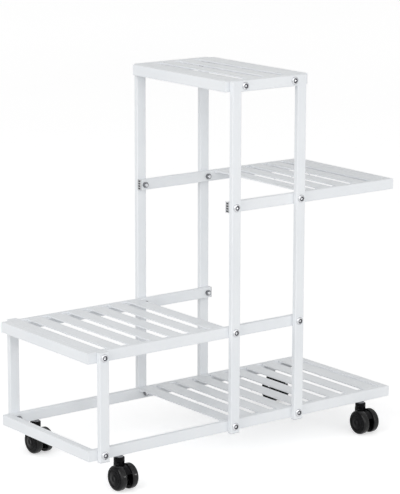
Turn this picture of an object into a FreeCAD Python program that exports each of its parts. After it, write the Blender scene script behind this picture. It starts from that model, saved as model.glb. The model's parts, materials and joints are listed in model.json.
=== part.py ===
"""Tiered plant stand on casters: bolted flat-tube frames, slatted welded trays and four twin-wheel
swivel casters.

Lengths are in millimetres. While building, x runs from the left end of the base tray, y from the
outer face of its front rail to the back, and z from the floor. at() then moves each piece so that
the origin lies on the floor under the middle of the whole stand.
"""
import FreeCAD, Part
import math
import os

import Sketcher
from FreeCAD import Placement, Rotation, Vector

SIZES = [
    # the whole stand
    ("overall_length", 700.0, "base tray, end to end"),
    ("tray_depth", 280.0, "every tray, outside to outside of its long rails"),
    ("base_lift", 60.0, "floor to the underside of the base rails"),
    ("left_lift", 236.0, "floor to the underside of the left shelf's rails"),
    ("right_lift", 466.0, "floor to the underside of the right shelf's rails"),
    ("top_lift", 684.0, "floor to the underside of the top tray's rails"),
    ("tower_left", 306.6, "left edge of the two tall frames"),
    ("tower_wide", 169.0, "width of the two tall frames"),
    ("top_overhang", 10.0, "top tray past each side of the tall frames"),
    ("short_leg_left", 18.0, "left edge of the two short legs"),
    # flat tube
    ("rail_tall", 20.0, "height of every tray tube"),
    ("rail_thick", 10.0, "thickness of the long rails"),
    ("end_thick", 15.0, "thickness of the end tubes"),
    ("leg_wide", 20.0, "width of the legs and height of the top bars"),
    ("leg_thick", 10.0, "thickness of the legs and top bars"),
    ("leg_drop", 1.5, "legs reach this far below the base rails"),
    ("wall", 1.2, "wall of every tube"),
    ("tube_edge", 1.0, "bevel along the legs' and top bars' outer corners"),
    ("tray_edge", 0.7, "bevel along the tray tubes' outer corners"),
    # slatted decks
    ("slat_wide", 29.0, "flat bar of the decks"),
    ("slat_thick", 2.5, "thickness of the flat bar"),
    ("slat_end_gap", 0.5, "slat end to the rail's inner face"),
    ("ledge_wide", 10.0, "strip welded inside the tubes, under the slats"),
    ("ledge_thick", 2.0, "thickness of that strip"),
    ("base_deck_start", 301.5, "left edge of the base tray's first slat"),
    ("base_pitch", 42.9, "slat to slat on the base tray"),
    ("left_deck_start", 50.0, "left edge of the left shelf's first full slat"),
    ("left_pitch", 45.0, "slat to slat on the left shelf"),
    ("edge_slat_wide", 21.4, "narrow slat against the left shelf's end tube"),
    ("right_deck_start", 482.0, "left edge of the right shelf's first slat"),
    ("right_pitch", 42.9, "slat to slat on the right shelf"),
    # bolts and nuts
    ("bolt_dia", 6.0, "shank"),
    ("bolt_hole_gap", 0.25, "shank to hole, all round"),
    ("head_dia", 14.6, "low round bolt head"),
    ("head_tall", 2.6, "height of the bolt head"),
    ("socket_flats", 4.0, "hexagon socket, across flats"),
    ("socket_deep", 2.0, "depth of the hexagon socket"),
    ("nut_flats", 10.0, "nut, across flats"),
    ("nut_tall", 5.0, "nut height"),
    ("bolt_end", 1.5, "bolt past the nut"),
    ("nut_gap", 0.05, "shank to the nut's bore, all round"),
    ("top_bolt_inset", 28.0, "top bar bolt from the tall frame's edge"),
    # plastic plugs and end caps
    ("plug_head", 1.5, "thickness of a plug's head"),
    ("plug_deep", 5.0, "plug inside its tube"),
    ("plug_gap", 0.1, "plug to the inside of its tube, all round"),
    # casters
    ("caster_inset", 68.0, "swivel axis from each end of the base tray"),
    ("flange_flats", 13.0, "hexagon on the stem, across flats"),
    ("flange_tall", 3.0, "height of that hexagon"),
    ("thread_dia", 6.0, "stem inside the threaded bush"),
    ("thread_long", 14.0, "stem above the hexagon"),
    ("bush_dia", 7.2, "threaded bush welded into the rail"),
    ("bush_long", 15.0, "length of the bush"),
    ("bush_gap", 0.1, "bush to its hole in the rail, all round"),
    ("thread_gap", 0.05, "stem to the bush's bore, all round"),
    ("shank_dia", 8.0, "stem inside the fork"),
    ("shank_long", 16.0, "stem below the hexagon"),
    ("swivel_gap", 0.05, "shank to the fork's bore, all round"),
    ("seat_gap", 0.3, "between faces that turn past each other"),
    ("collar_dia", 20.0, "round collar of the fork"),
    ("fork_wide", 11.0, "fork, between the two wheels"),
    ("fork_radius", 21.0, "arched top of the fork, round the axle"),
    ("arch_under", 9.0, "underside of the arch's nose above the axle"),
    ("hub_dia", 14.0, "fork round the axle"),
    ("hub_wide", 5.0, "width of the fork's hub in front of the axle"),
    ("collar_clear", 1.0, "collar above the wheels"),
    ("trail", 12.0, "axle behind the swivel axis"),
    ("wheel_dia", 46.0, "wheel over the tread"),
    ("wheel_wide", 13.5, "wheel across"),
    ("wheel_gap", 13.0, "between the inner faces of a pair of wheels"),
    ("wheel_wall", 3.0, "closed outer wall of a wheel, past the axle"),
    ("wheel_shoulder", 2.6, "bevel of a wheel's two rims"),
    ("hub_cap_dia", 14.0, "raised cap in the middle of a wheel's outer face"),
    ("hub_cap_tall", 0.8, "height of that cap"),
    ("axle_dia", 6.0, "axle pin"),
    ("axle_gap", 0.05, "axle to a wheel's bore, all round"),
    ("press_gap", 0.01, "axle to the fork's bore, all round"),
]
BASE_SLATS = 9
LEFT_SLATS = 6
RIGHT_SLATS = 5
TOP_SLATS = 4
# round pieces that repeat are drawn with few sides, to keep the whole stand light
HOLE_SIDES = 8
PIN_SIDES = 12
COLLAR_SIDES = 24
WHEEL_SIDES = 48

doc = FreeCAD.newDocument("plant_stand")
sheet = doc.addObject("Spreadsheet::Sheet", "Sizes")
pieces = []


class Size(float):
    """A length that also carries the sheet formula it was worked out with."""

    def __new__(cls, number, formula):
        made = super().__new__(cls, number)
        made.formula = formula
        return made

    def joined(self, sign, other, number, swap=False):
        pair = [self.formula, formula_of(other)]
        if swap:
            pair.reverse()
        return Size(number, f"({pair[0]} {sign} {pair[1]})")

    def __add__(self, other):
        return self.joined("+", other, float(self) + float(other))

    def __radd__(self, other):
        return self.joined("+", other, float(other) + float(self), swap=True)

    def __sub__(self, other):
        return self.joined("-", other, float(self) - float(other))

    def __rsub__(self, other):
        return self.joined("-", other, float(other) - float(self), swap=True)

    def __mul__(self, other):
        return self.joined("*", other, float(self) * float(other))

    def __rmul__(self, other):
        return self.joined("*", other, float(other) * float(self), swap=True)

    def __truediv__(self, other):
        return self.joined("/", other, float(self) / float(other))

    def __neg__(self):
        return Size(-float(self), f"(0 - {self.formula})")


def formula_of(number):
    """Sheet formula of a Size, or a plain number written out."""
    return number.formula if isinstance(number, Size) else repr(float(number))


def read_sizes():
    """Fill the sheet, and give every size back by name."""
    named = {}
    for row, (name, number, note) in enumerate(SIZES, 1):
        sheet.set(f"A{row}", name)
        sheet.set(f"B{row}", str(number))
        sheet.set(f"C{row}", note)
        sheet.setAlias(f"B{row}", name)
        named[name] = Size(number, f"Sizes.{name}")
    doc.recompute()
    return named


def bind(thing, place, length):
    """Set one property or constraint of an object to a formula of the sheet."""
    if isinstance(length, Size):
        thing.setExpression(place, length.formula)


# ---------------------------------------------------------------- sketches and features
def sketch_on(body, plane, name, lift=0.0):
    """An empty sketch on one of the body's own origin planes, raised along its normal."""
    sketch = body.newObject("Sketcher::SketchObject", name)
    support = next(one for one in body.Origin.OriginFeatures if one.Role == plane)
    sketch.AttachmentSupport = [(support, "")]
    sketch.MapMode = "FlatFace"
    if lift:
        bind(sketch, "AttachmentOffset.Base.z", lift)
    return sketch


def hold(sketch, kind, geometry, *numbers):
    """Add one constraint whose last number follows the sheet."""
    length = numbers[-1]
    index = sketch.addConstraint(Sketcher.Constraint(kind, *geometry, *numbers[:-1], float(length)))
    bind(sketch, f"Constraints[{index}]", length)


def pin_point(sketch, edge, end, x, y):
    """Fix one end or centre of a sketched edge, measured from the sketch's origin."""
    hold(sketch, "DistanceX", (-1, 1, edge, end), x)
    hold(sketch, "DistanceY", (-1, 1, edge, end), y)


def draw_outline(sketch, corners):
    """A closed outline of straight lines through the corners."""
    first = sketch.GeometryCount
    count = len(corners)
    for index, corner in enumerate(corners):
        following = corners[(index + 1) % count]
        line = Part.LineSegment(Vector(corner[0], corner[1], 0), Vector(following[0], following[1], 0))
        sketch.addGeometry(line, False)
    for index in range(count):
        joint = Sketcher.Constraint("Coincident", first + index, 2, first + (index + 1) % count, 1)
        sketch.addConstraint(joint)
    for index, corner in enumerate(corners):
        pin_point(sketch, first + index, 1, *corner)


def draw_rectangle(sketch, x_low, y_low, x_high, y_high):
    draw_outline(sketch, [(x_low, y_low), (x_high, y_low), (x_high, y_high), (x_low, y_high)])


def draw_circle(sketch, x, y, diameter):
    edge = sketch.addGeometry(Part.Circle(Vector(x, y, 0), Vector(0, 0, 1), diameter / 2), False)
    hold(sketch, "Radius", (edge,), diameter / 2)
    pin_point(sketch, edge, 3, x, y)


def draw_polygon(sketch, sides, flats, x=0.0, y=0.0):
    """A regular polygon across its flats, with one flat at the top."""
    half_side = math.pi / sides
    corner_radius = flats / (2 * math.cos(half_side))
    corners = []
    for index in range(sides):
        angle = math.pi / 2 + (2 * index + 1) * half_side
        corners.append((x + corner_radius * math.cos(angle), y + corner_radius * math.sin(angle)))
    draw_outline(sketch, corners)


def draw_hexagon(sketch, flats):
    draw_polygon(sketch, 6, flats)


def draw_pin(sketch, diameter):
    """Section of a pin that turns in its bore: its corners lie on the diameter."""
    draw_polygon(sketch, PIN_SIDES, diameter * math.cos(math.pi / PIN_SIDES))


def add_pad(body, sketch, length, both_ways=False):
    pad = body.newObject("PartDesign::Pad", "Pad")
    pad.Profile = sketch
    pad.SideType = "Symmetric" if both_ways else "One side"
    bind(pad, "Length", length)
    doc.recompute()
    return pad


def add_pocket(body, sketch, depth=None, upwards=False):
    """Cut through everything both ways, or to a depth along the sketch's normal or against it."""
    before = body.Shape.Volume
    pocket = body.newObject("PartDesign::Pocket", "Pocket")
    pocket.Profile = sketch
    if depth is None:
        pocket.Type = "ThroughAll"
        pocket.SideType = "Symmetric"
    else:
        pocket.Type = "Length"
        pocket.Reversed = upwards
        bind(pocket, "Length", depth)
    doc.recompute()
    if body.Shape.Volume >= before:
        raise RuntimeError(f"{body.Label}: a pocket cut nothing")
    return pocket


def ease_edges(body, wanted, length):
    """Bevel the edges that wanted() picks."""
    picked = [f"Edge{index}" for index, edge in enumerate(body.Shape.Edges, 1) if wanted(edge)]
    base = body.Tip
    bevel = body.newObject("PartDesign::Chamfer", "Bevel")
    bevel.Base = (base, picked)
    bind(bevel, "Size", length)
    doc.recompute()
    return bevel


# ---------------------------------------------------------------- placing
def at(x, y, z, turn=None):
    """Placement of a piece, given in the building coordinates."""
    return Placement(Vector(x - middle_x, y - middle_y, z), turn or Rotation())


def keep(thing, label, placement=None):
    """Name a finished piece, put it in its place and list it for writing."""
    thing.Label = label
    if placement is not None:
        thing.Placement = placement
    pieces.append(thing)
    return thing


def linked_group(label, copied, placements):
    """One piece made of equal solids: links to the pattern solid, each in its own place."""
    links = []
    for index, placement in enumerate(placements):
        link = doc.addObject("App::Link", f"{label}_{index}")
        link.LinkedObject = copied
        link.LinkTransform = False
        link.Placement = placement
        links.append(link)
    group = doc.addObject("Part::Compound", label)
    group.Links = links
    return keep(group, label)


def plain_box(name, length, width, height, placement=None):
    box = doc.addObject("Part::Box", name)
    bind(box, "Length", length)
    bind(box, "Width", width)
    bind(box, "Height", height)
    if placement is not None:
        box.Placement = placement
    return box


# ---------------------------------------------------------------- tubes
def tube(label, placement, length, thick, tall, bevel, holes=(), bush_holes=(), mitres=()):
    """A flat tube along its own x, with y across its thickness and z up its height.

    holes: places along it where a bolt goes through its thickness.
    bush_holes: places where a caster's bush goes in through its lower wall.
    mitres: wedges to cut off, each (plane, three corners).
    """
    body = doc.addObject("PartDesign::Body", label)
    section = sketch_on(body, "YZ_Plane", "Section")
    draw_rectangle(section, 0.0, 0.0, thick, tall)
    draw_rectangle(section, s["wall"], s["wall"], thick - s["wall"], tall - s["wall"])
    add_pad(body, section, length)

    def outer_corner(edge):
        start, finish = edge.Vertexes[0].Point, edge.Vertexes[-1].Point
        along = abs(finish.x - start.x) > length / 2
        outside = min(abs(start.y), abs(start.y - thick)) < s["wall"] / 2
        return along and outside

    ease_edges(body, outer_corner, bevel)
    if holes:
        drilling = sketch_on(body, "XZ_Plane", "Bolt_holes")
        for place in holes:
            draw_polygon(drilling, HOLE_SIDES, s["bolt_dia"] + 2 * s["bolt_hole_gap"], place, tall / 2)
        add_pocket(body, drilling)
    if bush_holes:
        drilling = sketch_on(body, "XY_Plane", "Bush_holes")
        for place in bush_holes:
            draw_polygon(drilling, HOLE_SIDES, s["bush_dia"] + 2 * s["bush_gap"], place, thick / 2)
        add_pocket(body, drilling, s["wall"] * 2, upwards=True)
    for plane, corners in mitres:
        wedge = sketch_on(body, plane, "Mitre")
        draw_outline(wedge, corners)
        add_pocket(body, wedge)
    return keep(body, label, placement)


def rail_mitres(length, inner_side, left, right):
    """Wedges off a long rail where it meets an end tube; inner_side is the y of its inner face."""
    outer_side = s["rail_thick"] - inner_side
    wedges = []
    if left:
        wedges.append(("XY_Plane", [(0.0, outer_side), (s["end_thick"], inner_side), (0.0, inner_side)]))
    if right:
        far = length - s["end_thick"]
        wedges.append(("XY_Plane", [(length, outer_side), (length, inner_side), (far, inner_side)]))
    return wedges


def end_mitres(inner_side):
    """Wedges off both ends of an end tube, whose own x runs along the stand's depth."""
    outer_side = s["end_thick"] - inner_side
    depth = s["tray_depth"]
    thick = s["rail_thick"]
    return [
        ("XY_Plane", [(0.0, outer_side), (0.0, inner_side), (thick, inner_side)]),
        ("XY_Plane", [(depth, outer_side), (depth - thick, inner_side), (depth, inner_side)]),
    ]


def long_rail(label, start, finish, lift, rear, left_end, right_end, bolt_places, bush_places=()):
    """A tray's front or rear rail, mitred where it meets an end tube."""
    length = finish - start
    inner_side = 0.0 if rear else s["rail_thick"]
    y = s["tray_depth"] - s["rail_thick"] if rear else 0.0
    return tube(
        label, at(start, y, lift), length, s["rail_thick"], s["rail_tall"], s["tray_edge"],
        holes=[place - start for place in bolt_places],
        bush_holes=[place - start for place in bush_places],
        mitres=rail_mitres(length, inner_side, left_end, right_end),
    )


def end_tube(label, outer_x, lift, right):
    """A tray's left or right end tube, mitred into the rails; outer_x is its outer face."""
    quarter_turn = Rotation(Vector(0, 0, 1), 90)
    x = outer_x if right else outer_x + s["end_thick"]
    inner_side = s["end_thick"] if right else 0.0
    return tube(
        label, at(x, 0.0, lift, quarter_turn), s["tray_depth"], s["end_thick"], s["rail_tall"],
        s["tray_edge"], mitres=end_mitres(inner_side),
    )


# ---------------------------------------------------------------- decks
def ledge_strip(name, x, y, length, width, lift):
    under_slats = lift + s["rail_tall"] - s["slat_thick"] - s["ledge_thick"]
    return plain_box(name, length, width, s["ledge_thick"], at(x, y, under_slats))


def deck(prefix, lift, slats, ledge_start, ledge_finish, end_ledges):
    """Slats across a tray, and the ledge strips that they are welded to.

    slats: (left edge, width) of each slat.
    end_ledges: left edges of the strips along the end tubes, between the two long strips.
    """
    front = s["rail_thick"]
    rear = s["tray_depth"] - s["rail_thick"]
    long_ledge = ledge_finish - ledge_start
    strips = [
        ledge_strip(f"{prefix}_ledge_front", ledge_start, front, long_ledge, s["ledge_wide"], lift),
        ledge_strip(f"{prefix}_ledge_rear", ledge_start, rear - s["ledge_wide"], long_ledge,
                    s["ledge_wide"], lift),
    ]
    for index, x in enumerate(end_ledges):
        strips.append(ledge_strip(
            f"{prefix}_ledge_end_{index}", x, front + s["ledge_wide"], s["ledge_wide"],
            rear - front - 2 * s["ledge_wide"], lift,
        ))
    ledges = doc.addObject("Part::Compound", f"{prefix}_ledges")
    ledges.Links = strips
    keep(ledges, f"{prefix}_ledges")

    bars = []
    across = rear - front - 2 * s["slat_end_gap"]
    top = lift + s["rail_tall"] - s["slat_thick"]
    for index, (x, width) in enumerate(slats):
        place = at(x, front + s["slat_end_gap"], top)
        bars.append(plain_box(f"{prefix}_slat_{index}", width, across, s["slat_thick"], place))
    group = doc.addObject("Part::Compound", f"{prefix}_slats")
    group.Links = bars
    keep(group, f"{prefix}_slats")


def even_slats(start, pitch, count):
    return [(start + index * pitch, s["slat_wide"]) for index in range(count)]


# ---------------------------------------------------------------- legs and tall frames
def leg(label, left_edge, y, top, bolt_heights, mitre_towards=0):
    """An upright leg. mitre_towards: 1 or -1 cuts its top for a bar going right or left."""
    foot = s["base_lift"] - s["leg_drop"]
    length = top - foot
    upright = Rotation(Vector(0, 1, 0), -90)
    wide = s["leg_wide"]
    wedges = []
    # the leg's own z points to the left when it stands up, so its right side is at z = 0
    if mitre_towards > 0:
        wedges.append(("XZ_Plane", [(length, wide), (length, 0.0), (length - wide, 0.0)]))
    if mitre_towards < 0:
        wedges.append(("XZ_Plane", [(length, 0.0), (length, wide), (length - wide, wide)]))
    return tube(
        label, at(left_edge + wide, y, foot, upright), length, s["leg_thick"], wide,
        s["tube_edge"], holes=[height - foot for height in bolt_heights], mitres=wedges,
    )


def top_bar(label, y):
    """The bar across the top of a tall frame, mitred into both legs."""
    length = s["tower_wide"]
    tall = s["leg_wide"]
    inset = s["top_bolt_inset"]
    return tube(
        label, at(s["tower_left"], y, s["top_lift"]), length, s["leg_thick"], tall, s["tube_edge"],
        holes=[inset, length - inset],
        mitres=[
            ("XZ_Plane", [(0.0, 0.0), (tall, 0.0), (0.0, tall)]),
            ("XZ_Plane", [(length, 0.0), (length, tall), (length - tall, 0.0)]),
        ],
    )


# ---------------------------------------------------------------- fasteners and plugs
def bolt_pattern():
    """A low round-head bolt along +z from the seat of its head at z = 0, head below."""
    body = doc.addObject("PartDesign::Body", "bolt_pattern")
    tall = s["head_tall"]
    head = sketch_on(body, "XY_Plane", "Head", -tall)
    draw_polygon(head, PIN_SIDES, s["head_dia"])
    add_pad(body, head, tall)
    shank = sketch_on(body, "XY_Plane", "Shank")
    draw_polygon(shank, HOLE_SIDES, s["bolt_dia"])
    add_pad(body, shank, s["leg_thick"] + s["rail_thick"] + s["nut_tall"] + s["bolt_end"])
    socket = sketch_on(body, "XY_Plane", "Socket", -tall)
    draw_hexagon(socket, s["socket_flats"])
    add_pocket(body, socket, s["socket_deep"], upwards=True)
    return body


def nut_pattern():
    """A hexagon nut whose bolt runs along +z through its bore."""
    body = doc.addObject("PartDesign::Body", "nut_pattern")
    outline = sketch_on(body, "XY_Plane", "Outline")
    draw_hexagon(outline, s["nut_flats"])
    draw_polygon(outline, HOLE_SIDES, s["bolt_dia"] + 2 * s["nut_gap"])
    add_pad(body, outline, s["nut_tall"])
    return body


def plug(name, wide, tall, placement):
    """A plug whose head closes a tube end at z = 0 and whose body reaches down into the tube."""
    inset = s["wall"] + s["plug_gap"]
    head = plain_box(f"{name}_head", wide, tall, s["plug_head"])
    inner_placement = Placement(Vector(inset, inset, -s["plug_deep"]), Rotation())
    inner = plain_box(f"{name}_body", wide - 2 * inset, tall - 2 * inset, s["plug_deep"], inner_placement)
    whole = doc.addObject("Part::Fuse", name)
    whole.Base = head
    whole.Tool = inner
    whole.Placement = placement
    return whole


def end_cap(name, x, y, z):
    """A flat plate that closes the top of a short leg, inside its walls."""
    inset = s["wall"]
    return plain_box(name, s["leg_wide"] - 2 * inset, s["leg_thick"] - 2 * inset, s["wall"],
                     at(x + inset, y + inset, z - s["wall"]))


# ---------------------------------------------------------------- casters
def caster_stem(label, placement):
    """Steel stem from the fork's bore up into the rail, with a hexagon under the rail."""
    body = doc.addObject("PartDesign::Body", label)
    shank = sketch_on(body, "XY_Plane", "Shank", -s["flange_tall"] - s["shank_long"])
    draw_pin(shank, s["shank_dia"])
    add_pad(body, shank, s["shank_long"])
    hexagon = sketch_on(body, "XY_Plane", "Hexagon", -s["flange_tall"])
    draw_hexagon(hexagon, s["flange_flats"])
    add_pad(body, hexagon, s["flange_tall"])
    thread = sketch_on(body, "XY_Plane", "Thread")
    draw_polygon(thread, HOLE_SIDES, s["thread_dia"])
    add_pad(body, thread, s["thread_long"])
    return keep(body, label, placement)


def caster_fork(label, placement):
    """Plastic fork between the wheels: arched web, collar for the stem and hub for the axle.

    Its own origin is on the floor under the swivel axis, and the axle lies towards -y.
    """
    body = doc.addObject("PartDesign::Body", label)
    axle_y = -s["trail"]
    axle_z = s["wheel_dia"] / 2
    wide = s["fork_wide"]
    radius = s["fork_radius"]
    collar_top = s["base_lift"] - s["flange_tall"] - s["seat_gap"]

    disc = sketch_on(body, "YZ_Plane", "Arch")
    draw_circle(disc, axle_y, axle_z, 2 * radius)
    add_pad(body, disc, wide, both_ways=True)

    # open in front of and below the hub, closed behind it
    opening = sketch_on(body, "YZ_Plane", "Opening")
    nose = axle_z + s["arch_under"]
    outside = 1.5 * radius
    hub = s["hub_dia"] / 2
    draw_outline(opening, [
        (axle_y - outside, nose), (axle_y - hub / 2, nose), (axle_y, axle_z),
        (axle_y + outside, axle_z - hub), (axle_y + outside, axle_z - outside),
        (axle_y - outside, axle_z - outside),
    ])
    add_pocket(body, opening)

    hub_sketch = sketch_on(body, "YZ_Plane", "Hub")
    draw_circle(hub_sketch, axle_y, axle_z, s["hub_dia"])
    add_pad(body, hub_sketch, s["hub_wide"], both_ways=True)

    # neck between the arch and the collar, no wider than the web
    neck = sketch_on(body, "YZ_Plane", "Neck")
    collar_radius = s["collar_dia"] / 2
    collar_foot = s["wheel_dia"] + s["collar_clear"]
    draw_rectangle(neck, -collar_radius, nose, collar_radius, collar_foot)
    add_pad(body, neck, wide, both_ways=True)
    collar = sketch_on(body, "XY_Plane", "Collar", collar_foot)
    draw_polygon(collar, COLLAR_SIDES, s["collar_dia"])
    add_pad(body, collar, collar_top - collar_foot)

    bore = sketch_on(body, "XY_Plane", "Swivel_bore", collar_top)
    draw_polygon(bore, HOLE_SIDES, s["shank_dia"] + 2 * s["swivel_gap"])
    add_pocket(body, bore, s["shank_long"])
    axle_bore = sketch_on(body, "YZ_Plane", "Axle_bore")
    draw_polygon(axle_bore, HOLE_SIDES, s["axle_dia"] + 2 * s["press_gap"], axle_y, axle_z)
    add_pocket(body, axle_bore)
    return keep(body, label, placement)


def wheel_bore_deep():
    return s["wheel_wide"] - s["wheel_wall"]


def caster_wheel(label, placement):
    """A wheel along its own x axis, from its inner face at x = 0 to its outer face."""
    body = doc.addObject("PartDesign::Body", label)
    rim = sketch_on(body, "YZ_Plane", "Rim")
    draw_polygon(rim, WHEEL_SIDES, s["wheel_dia"])
    add_pad(body, rim, s["wheel_wide"])

    def rim_edge(edge):
        return edge.Length < s["wheel_wide"] / 2

    ease_edges(body, rim_edge, s["wheel_shoulder"])
    cap = sketch_on(body, "YZ_Plane", "Hub_cap", s["wheel_wide"])
    draw_polygon(cap, PIN_SIDES, s["hub_cap_dia"])
    add_pad(body, cap, s["hub_cap_tall"])
    bore = sketch_on(body, "YZ_Plane", "Bore")
    draw_polygon(bore, HOLE_SIDES, s["axle_dia"] + 2 * s["axle_gap"])
    add_pocket(body, bore, wheel_bore_deep(), upwards=True)
    return keep(body, label, placement)


def caster_axle(label, x, y):
    """Steel pin through the fork's hub into the blind bores of both wheels."""
    reach = s["wheel_gap"] / 2 + wheel_bore_deep() - s["seat_gap"]
    body = doc.addObject("PartDesign::Body", label)
    pin = sketch_on(body, "YZ_Plane", "Pin")
    draw_pin(pin, s["axle_dia"])
    add_pad(body, pin, 2 * reach)
    return keep(body, label, at(x - reach, y - s["trail"], s["wheel_dia"] / 2))


def caster(prefix, x, y):
    caster_stem(f"{prefix}_stem", at(x, y, s["base_lift"]))
    caster_fork(f"{prefix}_fork", at(x, y, 0.0))
    caster_axle(f"{prefix}_axle", x, y)
    half_gap = s["wheel_gap"] / 2
    axle_y = y - s["trail"]
    axle_z = s["wheel_dia"] / 2
    half_turn = Rotation(Vector(0, 0, 1), 180)
    caster_wheel(f"{prefix}_left_wheel", at(x - half_gap, axle_y, axle_z, half_turn))
    caster_wheel(f"{prefix}_right_wheel", at(x + half_gap, axle_y, axle_z))


def bush_pattern():
    """The threaded bush of a caster's stem, from the rail's underside up."""
    body = doc.addObject("PartDesign::Body", "bush_pattern")
    ring = sketch_on(body, "XY_Plane", "Ring")
    draw_polygon(ring, HOLE_SIDES, s["bush_dia"])
    draw_polygon(ring, HOLE_SIDES, s["thread_dia"] + 2 * s["thread_gap"])
    add_pad(body, ring, s["bush_long"])
    return body


# ---------------------------------------------------------------- the stand
s = read_sizes()

rear_leg_y = s["tray_depth"]
front_leg_y = -s["leg_thick"]
caster_rows = {"front": s["rail_thick"] / 2, "rear": s["tray_depth"] - s["rail_thick"] / 2}
caster_columns = {"left": s["caster_inset"], "right": s["overall_length"] - s["caster_inset"]}
front_reach = min(front_leg_y - s["head_tall"], caster_rows["front"] - s["trail"] - s["wheel_dia"] / 2)
rear_reach = rear_leg_y + s["leg_thick"] + s["head_tall"]
middle_x = s["overall_length"] / 2
middle_y = (front_reach + rear_reach) / 2

tower_right = s["tower_left"] + s["tower_wide"]
half_leg = s["leg_wide"] / 2
short_leg_x = s["short_leg_left"] + half_leg
tower_leg_x = [s["tower_left"] + half_leg, tower_right - half_leg]
top_bolt_x = [s["tower_left"] + s["top_bolt_inset"], tower_right - s["top_bolt_inset"]]
half_rail = s["rail_tall"] / 2
top_start = s["tower_left"] - s["top_overhang"]
top_finish = tower_right + s["top_overhang"]

# trays: rails and end tubes
for side, is_rear in (("front", False), ("rear", True)):
    long_rail(f"base_{side}_rail", 0.0 * s["wall"], s["overall_length"], s["base_lift"], is_rear,
              True, True, [short_leg_x] + tower_leg_x, list(caster_columns.values()))
    long_rail(f"left_shelf_{side}_rail", 0.0 * s["wall"], tower_right - s["plug_head"], s["left_lift"],
              is_rear, True, False, [short_leg_x] + tower_leg_x)
    long_rail(f"right_shelf_{side}_rail", s["tower_left"] + s["plug_head"], s["overall_length"],
              s["right_lift"], is_rear, False, True, tower_leg_x)
    long_rail(f"top_{side}_rail", top_start, top_finish, s["top_lift"], is_rear, True, True, top_bolt_x)
end_tube("base_left_end_tube", 0.0, s["base_lift"], right=False)
end_tube("base_right_end_tube", s["overall_length"], s["base_lift"], right=True)
end_tube("left_shelf_end_tube", 0.0, s["left_lift"], right=False)
end_tube("right_shelf_end_tube", s["overall_length"], s["right_lift"], right=True)
end_tube("top_left_end_tube", top_start, s["top_lift"], right=False)
end_tube("top_right_end_tube", top_finish, s["top_lift"], right=True)

# decks
right_inside = s["overall_length"] - s["end_thick"]
top_inside = [top_start + s["end_thick"], top_finish - s["end_thick"]]
left_slats = even_slats(s["left_deck_start"], s["left_pitch"], LEFT_SLATS)
left_deck_finish = s["left_deck_start"] + (LEFT_SLATS - 1) * s["left_pitch"] + s["slat_wide"]
top_pitch = (top_inside[1] - top_inside[0] - s["slat_wide"]) / (TOP_SLATS - 1)
deck("base", s["base_lift"], even_slats(s["base_deck_start"], s["base_pitch"], BASE_SLATS),
     s["base_deck_start"], right_inside, [right_inside - s["ledge_wide"]])
deck("left_shelf", s["left_lift"], [(s["end_thick"], s["edge_slat_wide"])] + left_slats,
     s["end_thick"], left_deck_finish, [s["end_thick"]])
deck("right_shelf", s["right_lift"], even_slats(s["right_deck_start"], s["right_pitch"], RIGHT_SLATS),
     s["right_deck_start"], right_inside, [right_inside - s["ledge_wide"]])
deck("top", s["top_lift"], even_slats(top_inside[0], top_pitch, TOP_SLATS),
     top_inside[0], top_inside[1], [top_inside[0], top_inside[1] - s["ledge_wide"]])

# legs and tall frames
heights = {name: s[name] + half_rail for name in ("base_lift", "left_lift", "right_lift", "top_lift")}
short_leg_top = s["left_lift"] + s["rail_tall"]
frame_top = s["top_lift"] + s["leg_wide"]
tower_bolts = [heights["base_lift"], heights["left_lift"], heights["right_lift"]]
for side, y in (("front", front_leg_y), ("rear", rear_leg_y)):
    leg(f"{side}_short_leg", s["short_leg_left"], y, short_leg_top,
        [heights["base_lift"], heights["left_lift"]])
    leg(f"{side}_frame_left_leg", s["tower_left"], y, frame_top, tower_bolts, mitre_towards=1)
    leg(f"{side}_frame_right_leg", tower_right - s["leg_wide"], y, frame_top, tower_bolts,
        mitre_towards=-1)
    top_bar(f"{side}_frame_top_bar", y)

# bolts and nuts
bolt_places = [(short_leg_x, heights["base_lift"]), (short_leg_x, heights["left_lift"])]
bolt_places += [(x, height) for x in tower_leg_x for height in tower_bolts]
bolt_places += [(x, heights["top_lift"]) for x in top_bolt_x]
inwards = {"front": Rotation(Vector(1, 0, 0), -90), "rear": Rotation(Vector(1, 0, 0), 90)}
head_seats = {"front": front_leg_y, "rear": rear_leg_y + s["leg_thick"]}
nut_seats = {"front": s["rail_thick"], "rear": s["tray_depth"] - s["rail_thick"]}
one_bolt = bolt_pattern()
one_nut = nut_pattern()
for side, turn in inwards.items():
    linked_group(f"{side}_bolts", one_bolt, [at(x, head_seats[side], z, turn) for x, z in bolt_places])
    linked_group(f"{side}_nuts", one_nut, [at(x, nut_seats[side], z, turn) for x, z in bolt_places])

# plugs and caps
facing_left = Rotation(Vector(0, 1, 0), -90)
facing_right = Rotation(Vector(0, 1, 0), 90)
facing_down = Rotation(Vector(1, 0, 0), 180)
foot = s["base_lift"] - s["leg_drop"]
rail_plugs = []
foot_plugs = []
caps = []
for side, rail_y, leg_y in (("front", 0.0, front_leg_y),
                            ("rear", s["tray_depth"] - s["rail_thick"], rear_leg_y)):
    rail_plugs.append(plug(
        f"right_shelf_{side}_plug", s["rail_tall"], s["rail_thick"],
        at(s["tower_left"] + s["plug_head"], rail_y, s["right_lift"], facing_left),
    ))
    rail_plugs.append(plug(
        f"left_shelf_{side}_plug", s["rail_tall"], s["rail_thick"],
        at(tower_right - s["plug_head"], rail_y, s["left_lift"] + s["rail_tall"], facing_right),
    ))
    for index, x in enumerate([short_leg_x] + tower_leg_x):
        foot_plugs.append(plug(f"{side}_foot_plug_{index}", s["leg_wide"], s["leg_thick"],
                               at(x - half_leg, leg_y + s["leg_thick"], foot, facing_down)))
    caps.append(end_cap(f"{side}_cap", s["short_leg_left"], leg_y, short_leg_top))
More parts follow.
